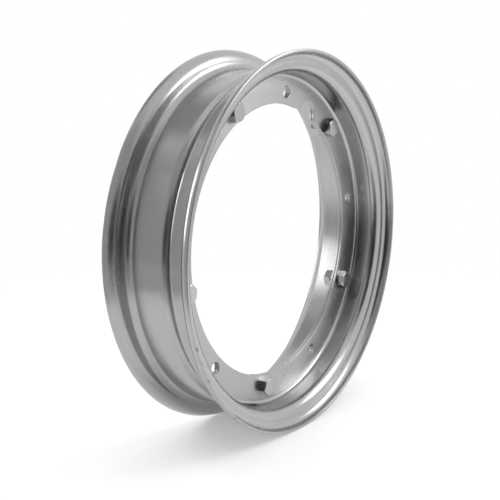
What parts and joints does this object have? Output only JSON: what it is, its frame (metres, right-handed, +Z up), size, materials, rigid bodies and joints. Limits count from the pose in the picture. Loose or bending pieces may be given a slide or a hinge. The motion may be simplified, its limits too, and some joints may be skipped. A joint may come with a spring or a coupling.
{
  "type": "motor scooter rim",
  "caption": "Divided pressed-steel wheel rim for a motor scooter: a narrow and a wide half bolted web to web, with rolled lips, stud holes and a valve notch.",
  "frame": {"origin": "on the wheel's axis, in the plane where the webs of the two halves meet", "axes": "+Y along the wheel's axis towards the wide half, +Z up, +X to the right seen from the bolt heads"},
  "size_m": [0.282, 0.0721, 0.282],
  "materials": {
    "rim_steel": "pressed steel sheet, satin polished, unpainted",
    "fastener_zinc": "bright zinc-plated steel",
    "washer_steel": "zinc-plated spring steel, slightly dull"
  },
  "bodies": {
    "root": {"rim_half_narrow": "rim_steel", "rim_half_wide": "rim_steel", "rim_bolt_1": "fastener_zinc", "rim_bolt_2": "fastener_zinc", "rim_bolt_3": "fastener_zinc", "rim_bolt_4": "fastener_zinc", "rim_bolt_5": "fastener_zinc", "spring_washer_1": "washer_steel", "spring_washer_2": "washer_steel", "spring_washer_3": "washer_steel", "spring_washer_4": "washer_steel", "spring_washer_5": "washer_steel", "rim_nut_1": "fastener_zinc", "rim_nut_2": "fastener_zinc", "rim_nut_3": "fastener_zinc", "rim_nut_4": "fastener_zinc", "rim_nut_5": "fastener_zinc"}
  },
  "joints": []
}
